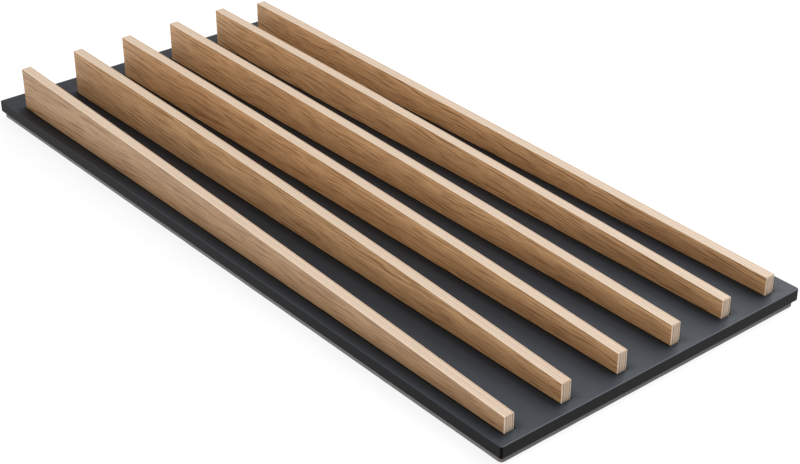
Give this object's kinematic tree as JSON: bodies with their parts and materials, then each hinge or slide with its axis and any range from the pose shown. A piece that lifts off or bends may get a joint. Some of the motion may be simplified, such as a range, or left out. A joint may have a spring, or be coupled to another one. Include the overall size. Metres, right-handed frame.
{
  "type": "acoustic slat wall panel",
  "caption": "Wall panel with tapered laminated wood slats standing in housings on a dark baseboard, with a recessed felt backing.",
  "frame": {"origin": "middle of the felt's back face, the face that meets the wall", "axes": "+Z out of the wall, +Y along the slats from their low ends to their tall ends, +X across the slats from the first to the last"},
  "size_m": [0.54, 1.2, 0.102],
  "materials": {
    "board_black": "matte lacquer",
    "felt_grey": "pressed felt",
    "wood_face": "satin oil",
    "wood_core": "satin oil"
  },
  "bodies": {
    "root": {"baseboard": "board_black", "felt_backing": "felt_grey", "slat_1_face_left": "wood_face", "slat_1_core_left": "wood_core", "slat_1_core_middle": "wood_core", "slat_1_core_right": "wood_core", "slat_1_face_right": "wood_face", "slat_2_face_left": "wood_face", "slat_2_core_left": "wood_core", "slat_2_core_middle": "wood_core", "slat_2_core_right": "wood_core", "slat_2_face_right": "wood_face", "slat_3_face_left": "wood_face", "slat_3_core_left": "wood_core", "slat_3_core_middle": "wood_core", "slat_3_core_right": "wood_core", "slat_3_face_right": "wood_face", "slat_4_face_left": "wood_face", "slat_4_core_left": "wood_core", "slat_4_core_middle": "wood_core", "slat_4_core_right": "wood_core", "slat_4_face_right": "wood_face", "slat_5_face_left": "wood_face", "slat_5_core_left": "wood_core", "slat_5_core_middle": "wood_core", "slat_5_core_right": "wood_core", "slat_5_face_right": "wood_face", "slat_6_face_left": "wood_face", "slat_6_core_left": "wood_core", "slat_6_core_middle": "wood_core", "slat_6_core_right": "wood_core", "slat_6_face_right": "wood_face"}
  },
  "joints": []
}
